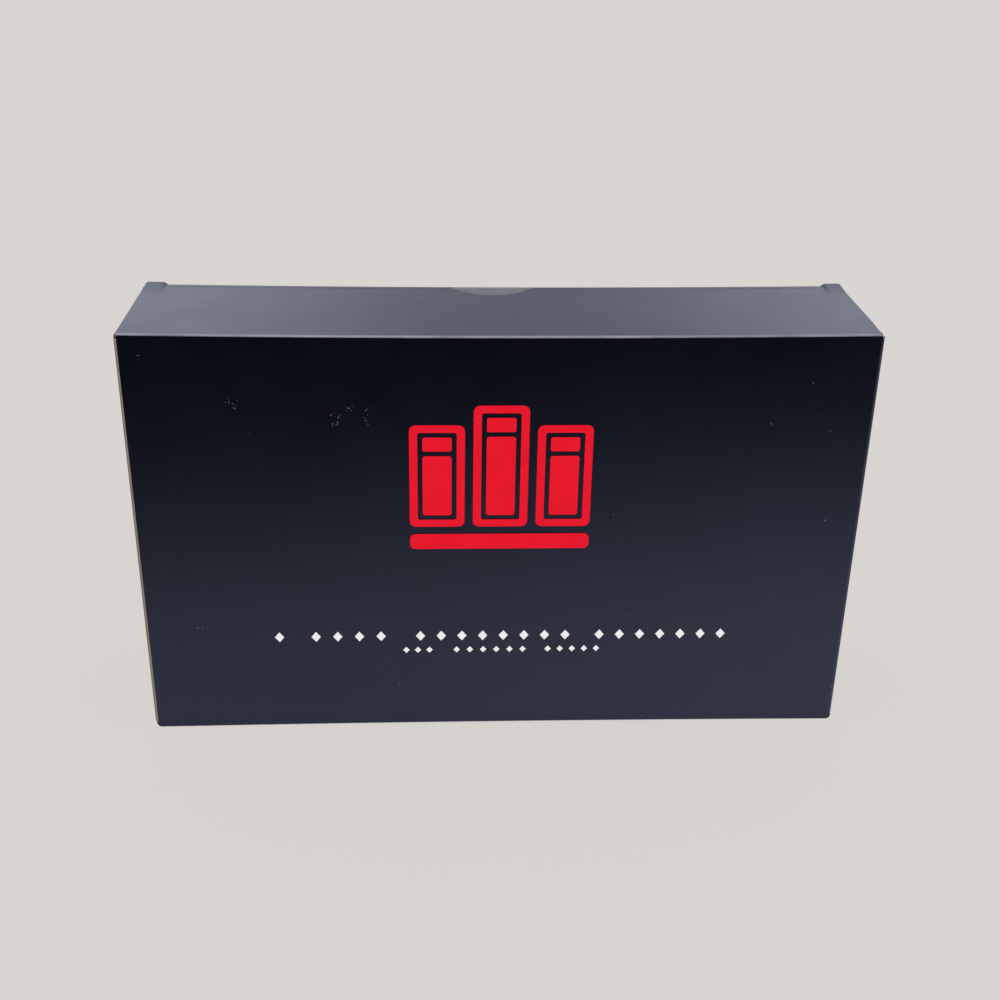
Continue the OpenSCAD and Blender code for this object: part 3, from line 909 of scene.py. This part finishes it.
def makeCrease(name, axis, run, spanLow, spanHigh, start, sweep, bodies, wear, turn):
    # The skin of the board round a crease. The axis is a point; run is the axis the crease lies on.
    radius = board["thick"] / 2 + creases["proud"]
    sign = math.copysign(1, sweep)
    profile = []
    for inner in (0, 1):
        skinRadius = radius - inner * creases["skin"]
        row = []
        for i in range(creases["steps"] + 1):
            angle = math.radians(start + sweep * i / creases["steps"])
            row.append(Vector((skinRadius * math.cos(angle), skinRadius * math.sin(angle))))
        for index, direction in ((0, -sign), (-1, sign)):
            angle = math.radians(start if index == 0 else start + sweep)
            tangent = Vector((-math.sin(angle), math.cos(angle))) * direction
            edge = row[index]
            for reach in (creases["fade"], creases["flat"]):
                row.insert(0 if index == 0 else len(row), edge + tangent * reach)
        profile += row if inner == 0 else row[::-1]
    shape = bmesh.new()
    face = shape.faces.new([shape.verts.new((point.x, point.y, 0)) for point in profile])
    raised = bmesh.ops.extrude_face_region(shape, geom=[face])
    moved = [part for part in raised["geom"] if isinstance(part, bmesh.types.BMVert)]
    length = spanHigh - spanLow
    bmesh.ops.translate(shape, verts=moved, vec=(0, 0, length))
    count = max(1, round(length / board["strip"]))
    ends = [creases["endCut"] * i for i in range(1, 6)] if run == "x" else []
    for at in [length * i / count for i in range(1, count)] + ends + [length - end for end in ends]:
        everything = shape.verts[:] + shape.edges[:] + shape.faces[:]
        bmesh.ops.bisect_plane(shape, geom=everything, plane_co=(0, 0, at), plane_no=(0, 0, 1), dist=1e-7)
    worn = shape.verts.layers.float.new("wear")
    # the round part of the crease takes the wear and painted highlight colour
    for vert in shape.verts:
        onArc = vert.co.xy.length < radius + 0.01 * mm
        vert[worn] = wear if onArc else 0
    mesh = bpy.data.meshes.new(name)
    shape.to_mesh(mesh)
    shape.free()
    mesh.materials.append(finishes["print"])
    for vertex in mesh.vertices:
        across, up, along = vertex.co
        if run == "x":
            flat = Vector((spanLow + along, axis.y + across, axis.z + up))
        else:
            flat = Vector((axis.x + across, spanLow + along, axis.z + up))
        vertex.co = turn(flat)
    piece = keepPiece(name, mesh)
    first, second = bodies
    reach = Vector((0, 1, 0)) if run == "x" else Vector((-1 if axis.x > 0 else 1, 0, 0))
    half = board["thick"] / 2
    if "tuck" in second:
        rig.blend(piece, first, second, turn(axis), turn(axis + Vector((0, half, 0)) * 0.6))
    else:
        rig.blend(piece, first, second, turn(axis - reach * half), turn(axis))
    cartonPieces.append(piece)
    return piece


notchLeft = closures["notchX"] - closures["notchHalf"]
notchRight = closures["notchX"] + closures["notchHalf"]
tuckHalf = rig.box("lid_tuck_flap")[1].x
rearSweep = -(90 + closures["lean"])
inset, past = creases["insets"]
for word, turn in (("lid", keepPoint), ("base", flipDown)):
    edges, tuckBodies = closures[word + "Edges"], (word, word + "_tuck")
    makeCrease(word + "Crease", lidCrease, "x", edges[0] + inset, edges[2] + past, 180, -90,
               ("carton", word), creases[word + "Wear"], turn)
    spans = [(word + "TuckCrease", -tuckHalf, tuckHalf)]
    if word == "lid":
        spans = [("lidTuckCreaseLeft", -tuckHalf, notchLeft),
                 ("lidTuckCreaseRight", notchRight, tuckHalf)]
    for name, spanLow, spanHigh in spans:
        makeCrease(name, tuckCrease, "x", spanLow, spanHigh, 90, rearSweep, tuckBodies,
                   creases["tuckWear"], turn)
dustFront, dustRear = lidCrease.y + dustFlaps["front"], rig.box("top_right_dust_flap")[1].y
for end, turn in (("top", keepPoint), ("bottom", flipDown)):
    for side, word in ((1, "right"), (-1, "left")):
        axis = Vector((side * dustCrease.x, 0, dustCrease.z))
        start, sweep = (0, 90) if side > 0 else (180, -90)
        makeCrease("%s%sDustCrease" % (end, word.title()), axis, "y", dustFront, dustRear, start, sweep,
                   ("carton", "%s_%s_flap" % (end, word)), creases["dustWear"], turn)
print("creases laid")

# printed marks on the front

marks = {
    "ink": 0.05 * mm,           # how thick the ink is
    "lift": 0.01 * mm,          # how deep it sits in the board
    "cutReach": 100 * mm,       # it is cut this far to each side of the middle, so that it bows,
    "cutStep": 12 * mm,         # into strips this wide
    # from here on in millimetres
    "shelf": (-37.2, 36.8, 87.6, 94.6),         # left, right, bottom, top
    "caseFoot": 98.0,
    "caseGap": 3.4,
    "caseHeights": (45.5, 54.0, 45.5),
    "stroke": 3.3,
    "inner": 2.0,
    "label": 6.2,
    # corner radii: the shelf, a case outside and inside its frame, its label, its card
    "shelfCorner": 2.2,
    "caseCorners": (2.6, 0.9),
    "labelCorner": 0.9,
    "cardCorner": 1.1,
    # rows of diamonds: height on the front, width and height of one,
    # then the first, the last and how many for each group
    "upper": (45.2, 4.0, 4.9,
              ((-93.2, -93.2, 1), (-77.7, -50.1, 4), (-33.3, 28.7, 8), (43.4, 96.0, 7))),
    "lower": (38.15, 2.8, 3.1, ((-39.4, -29.5, 3), (-17.8, 10.6, 6), (21.4, 42.4, 5))),
}


def inkPatch(shape, outline):
    shape.faces.new([shape.verts.new((x * mm, z * mm, 0)) for x, z in outline])


def boxOutline(left, right, low, high, radius):
    corners = ((left, low), (right, low), (right, high), (left, high))
    return softOutline([(x, z, radius) for x, z in corners])


def inkFrame(shape, box, stroke):
    # A frame with round corners, bridged from an outer to an inner outline.
    left, right, low, high = box
    loops = []
    for inset, radius in zip((0, stroke), marks["caseCorners"]):
        outline = boxOutline(left + inset, right - inset, low + inset, high - inset, radius)
        verts = [shape.verts.new((x * mm, z * mm, 0)) for x, z in outline]
        loops += [shape.edges.new((verts[i - 1], verts[i])) for i in range(len(verts))]
    bmesh.ops.bridge_loops(shape, edges=loops)


def keepInk(name, shape, finish):
    for at, normal in strips(-marks["cutReach"], marks["cutReach"], marks["cutStep"]):
        everything = shape.verts[:] + shape.edges[:] + shape.faces[:]
        bmesh.ops.bisect_plane(shape, geom=everything, plane_co=at, plane_no=normal, dist=1e-7)
    raised = bmesh.ops.extrude_face_region(shape, geom=shape.faces[:])
    moved = [part for part in raised["geom"] if isinstance(part, bmesh.types.BMVert)]
    bmesh.ops.translate(shape, verts=moved, vec=(0, 0, marks["ink"]))
    mesh = bpy.data.meshes.new(name)
    shape.to_mesh(mesh)
    shape.free()
    mesh.materials.append(finishes[finish])
    for vertex in mesh.vertices:
        x, z, out = vertex.co
        vertex.co = Vector((x, marks["lift"] - halfD - out, z))
    piece = keepPiece(name, mesh, body="carton")
    cartonPieces.append(piece)
    return piece


def drawCases(settings):
    # Three card cases upright on a shelf.
    shape = bmesh.new()
    left, right, low, high = settings["shelf"]
    inkPatch(shape, boxOutline(left, right, low, high, settings["shelfCorner"]))
    gap, stroke, inner = settings["caseGap"], settings["stroke"], settings["inner"]
    width = (right - left - 2 * gap) / 3
    for i, height in enumerate(settings["caseHeights"]):
        x, foot = left + i * (width + gap), settings["caseFoot"]
        inkFrame(shape, (x, x + width, foot, foot + height), stroke)
        edge = stroke + inner
        top = foot + height - edge
        labelFoot = top - settings["label"]
        near, far = x + edge, x + width - edge
        inkPatch(shape, boxOutline(near, far, labelFoot, top, settings["labelCorner"]))
        inkPatch(shape, boxOutline(near, far, foot + edge, labelFoot - inner, settings["cardCorner"]))
    return shape


def drawRow(middle, width, height, groups):
    shape = bmesh.new()
    for first, last, count in groups:
        for i in range(count):
            x = first + (last - first) * i / max(1, count - 1)
            inkPatch(shape, [(x - width / 2, middle), (x, middle - height / 2),
                             (x + width / 2, middle), (x, middle + height / 2)])
    return shape


keepInk("emblem", drawCases(marks), "red")
keepInk("markRowUpper", drawRow(*marks["upper"]), "white")
keepInk("markRowLower", drawRow(*marks["lower"]), "white")
for piece in cartonPieces:
    settle(piece)
print("front printed")

# the display and its foam

# node: finish, the record's slot, how far its edges are softened in millimetres, in how many steps
packed = {
    "left_end_cap": ("foam", "white_foam", 0.9, 3),
    "right_end_cap": ("foam", "white_foam", 0.9, 3),
    "display_base": ("wood", "black_wood", 0.35, 2),
    "rubber_feet": ("rubber", "black_rubber", 0.5, 3),
    "base_screws": ("steel", "plated_steel", 0.12, 1),
    "slot_rail": ("black", "black_acrylic", 0.25, 2),
    "felt_pads": ("felt", "grey_felt", 0.3, 2),
    "back_plate": ("black", "black_acrylic", 0.3, 2),
    "front_plate": ("clear", "clear_acrylic", 0.3, 2),
    "left_end_spacer": ("black", "black_acrylic", 0.25, 2),
    "left_divider": ("black", "black_acrylic", 0.25, 2),
    "right_divider": ("black", "black_acrylic", 0.25, 2),
    "right_end_spacer": ("black", "black_acrylic", 0.25, 2),
    "barrel_bolts": ("steel", "plated_steel", 0.35, 3),
    "barrel_nuts": ("steel", "plated_steel", 0.35, 3),
}


def softenNode(node, finish, slotName, soften, steps):
    # A copy of the CAD node, merged to clean faces, with its edges softened.
    shape = bmesh.new()
    shape.from_mesh(nodes[node].data)
    bmesh.ops.remove_doubles(shape, verts=shape.verts[:], dist=0.002 * mm)
    bmesh.ops.dissolve_limit(
        shape, angle_limit=math.radians(0.5), verts=shape.verts[:], edges=shape.edges[:])
    sharp = [edge for edge in shape.edges if edge.calc_face_angle(0) > math.radians(30)]
    bmesh.ops.bevel(shape, geom=sharp, offset=soften * mm, offset_type="OFFSET", affect="EDGES",
                    segments=steps, profile=0.5, material=-1, clamp_overlap=True)
    parts = node.split("_")
    name = parts[0] + "".join(part.title() for part in parts[1:])
    mesh = bpy.data.meshes.new(name)
    shape.to_mesh(mesh)
    shape.free()
    mesh.materials.clear()
    mesh.materials.append(finishes[finish])
    for polygon in mesh.polygons:
        polygon.material_index = 0
    return keepPiece(name, mesh, node, slotName=slotName)


for node, details in packed.items():
    softenNode(node, *details)
print("display packed")

# floor and light

studio = {
    "floor": (0.694, 0.665, 0.637, 1),
    "floorSize": 6.0,
    "floorShow": 0.84,              # how much of its own colour the camera sees, shadow or not
    "skyColour": (1, 0.985, 0.97, 1),
    "sky": 0.55,
    "sun": 1.85,
    "sunHeight": 50,
    "sunTurn": -3,
    "sunSoft": 26,
    "glossFloor": (0.75, 0.80, 1.19, 1),
    "glossFade": (0.10, 0.335),     # metres in front of the carton where its reflection darkens
    "glossTilt": 0.12,              # it darkens sooner on the left
    "glossBehind": 0.3,             # how bright it is beside and behind the carton
    "glossTurn": (-1.2, -0.2),      # where it changes to that, in half depths of the carton
    "glossSides": (0.83, 1.05),     # how bright it is at the left and the right end
    "glossWall": (0.93, 0.99, 1.22, 1),
    "wallGlow": (0.65, 1.32),       # middle and sides of the wall that the lid reflects
    "wallMiddle": 0.065,            # the rest are directions: 0 is the middle, 1 is square to the right
    "wallSides": (0.06, 0.24),
    "wallAhead": (-0.05, 0.55),
}


def paleFloor(settings):
    finish = bpy.data.materials.new("paleFloor")
    finish.use_nodes = True
    tree = finish.node_tree
    shader = tree.nodes["Principled BSDF"]
    shader.inputs["Base Color"].default_value = settings["floor"]
    shader.inputs["Roughness"].default_value = 0.9
    shader.inputs["Specular IOR Level"].default_value = 0.0
    path = addNode(tree, "LightPath")
    plain = addNode(tree, "Emission", {"Color": settings["floor"], "Strength": 1.0})
    shown = sums(tree, "MULTIPLY", path.outputs["Is Camera Ray"], settings["floorShow"])
    seen = addNode(tree, "MixShader", {0: shown, 1: shader.outputs[0], 2: plain.outputs[0]})
    # the front of the room is dark, as a gloss surface sees it
    place = addNode(tree, "SeparateXYZ", {0: addNode(tree, "TexCoord").outputs["Object"]})
    near, far = settings["glossFade"]
    tilt = sums(tree, "MULTIPLY", place.outputs["X"], settings["glossTilt"])
    tilted = sums(tree, "ADD", place.outputs["Y"], tilt)
    fade = spread(tree, tilted, -halfD - far, -halfD - near)
    side = spread(tree, place.outputs["X"], -halfW, halfW, *settings["glossSides"])
    turnFrom, turnTo = settings["glossTurn"]
    behind = spread(
        tree, place.outputs["Y"], turnFrom * halfD, turnTo * halfD, 1, settings["glossBehind"])
    level = sums(tree, "MULTIPLY", sums(tree, "MULTIPLY", fade, side), behind)
    dim = addNode(tree, "Emission", {"Color": settings["glossFloor"], "Strength": level})
    out = addNode(tree, "MixShader", {
        0: path.outputs["Is Glossy Ray"], 1: seen.outputs[0], 2: dim.outputs[0]})
    tree.links.new(out.outputs[0], tree.nodes["Material Output"].inputs["Surface"])
    return finish


def layFloor(settings):
    shape = bmesh.new()
    bmesh.ops.create_grid(shape, x_segments=1, y_segments=1, size=settings["floorSize"])
    mesh = bpy.data.meshes.new("floor")
    shape.to_mesh(mesh)
    shape.free()
    mesh.materials.append(paleFloor(settings))
    floor = bpy.data.objects.new("floor", mesh)
    bpy.context.scene.collection.objects.link(floor)
    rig.stage(floor)


def lightRoom(settings):
    world = bpy.data.worlds.new("room")
    bpy.context.scene.world = world
    world.use_nodes = True
    tree = world.node_tree
    tree.nodes.clear()
    path = addNode(tree, "LightPath")
    plain = addNode(tree, "Background", {"Color": settings["skyColour"], "Strength": settings["sky"]})
    # gloss sees a bright wall behind the carton, brightest at its sides, and a dark room in front
    away = addNode(tree, "SeparateXYZ", {0: addNode(tree, "TexCoord").outputs["Generated"]})
    offMiddle = sums(tree, "SUBTRACT", away.outputs["X"], settings["wallMiddle"])
    sideways = sums(tree, "ABSOLUTE", offMiddle, 0.0)
    ahead = spread(tree, away.outputs["Y"], *settings["wallAhead"])
    bright = spread(tree, sideways, *settings["wallSides"], *settings["wallGlow"])
    level = sums(tree, "MULTIPLY", ahead, bright)
    gloss = addNode(tree, "Background", {"Color": settings["glossWall"], "Strength": level})
    mirror = addNode(tree, "MixShader", {
        0: path.outputs["Is Glossy Ray"], 1: plain.outputs[0], 2: gloss.outputs[0]})
    backdrop = addNode(tree, "Background", {"Color": settings["floor"], "Strength": 1.0})
    seen = addNode(tree, "MixShader", {
        0: path.outputs["Is Camera Ray"], 1: mirror.outputs[0], 2: backdrop.outputs[0]})
    out = addNode(tree, "OutputWorld")
    tree.links.new(seen.outputs[0], out.inputs["Surface"])

    sun = bpy.data.objects.new("softSun", bpy.data.lights.new("softSun", "SUN"))
    sun.data.energy = settings["sun"]
    sun.data.angle = math.radians(settings["sunSoft"])
    tipped, turned = math.radians(90 - settings["sunHeight"]), math.radians(settings["sunTurn"])
    sun.rotation_euler = (tipped, 0, turned)
    bpy.context.scene.collection.objects.link(sun)


layFloor(studio)
lightRoom(studio)
bpy.context.scene.view_settings.view_transform = "Standard"

bpy.context.view_layer.update()
dressedLow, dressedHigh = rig.bounds()
sizes = {"cad": [list(cadLow), list(cadHigh)], "dressed": [list(dressedLow), list(dressedHigh)]}
with open("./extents.json", "w") as sizeFile:
    json.dump(sizes, sizeFile)
print("room lit")
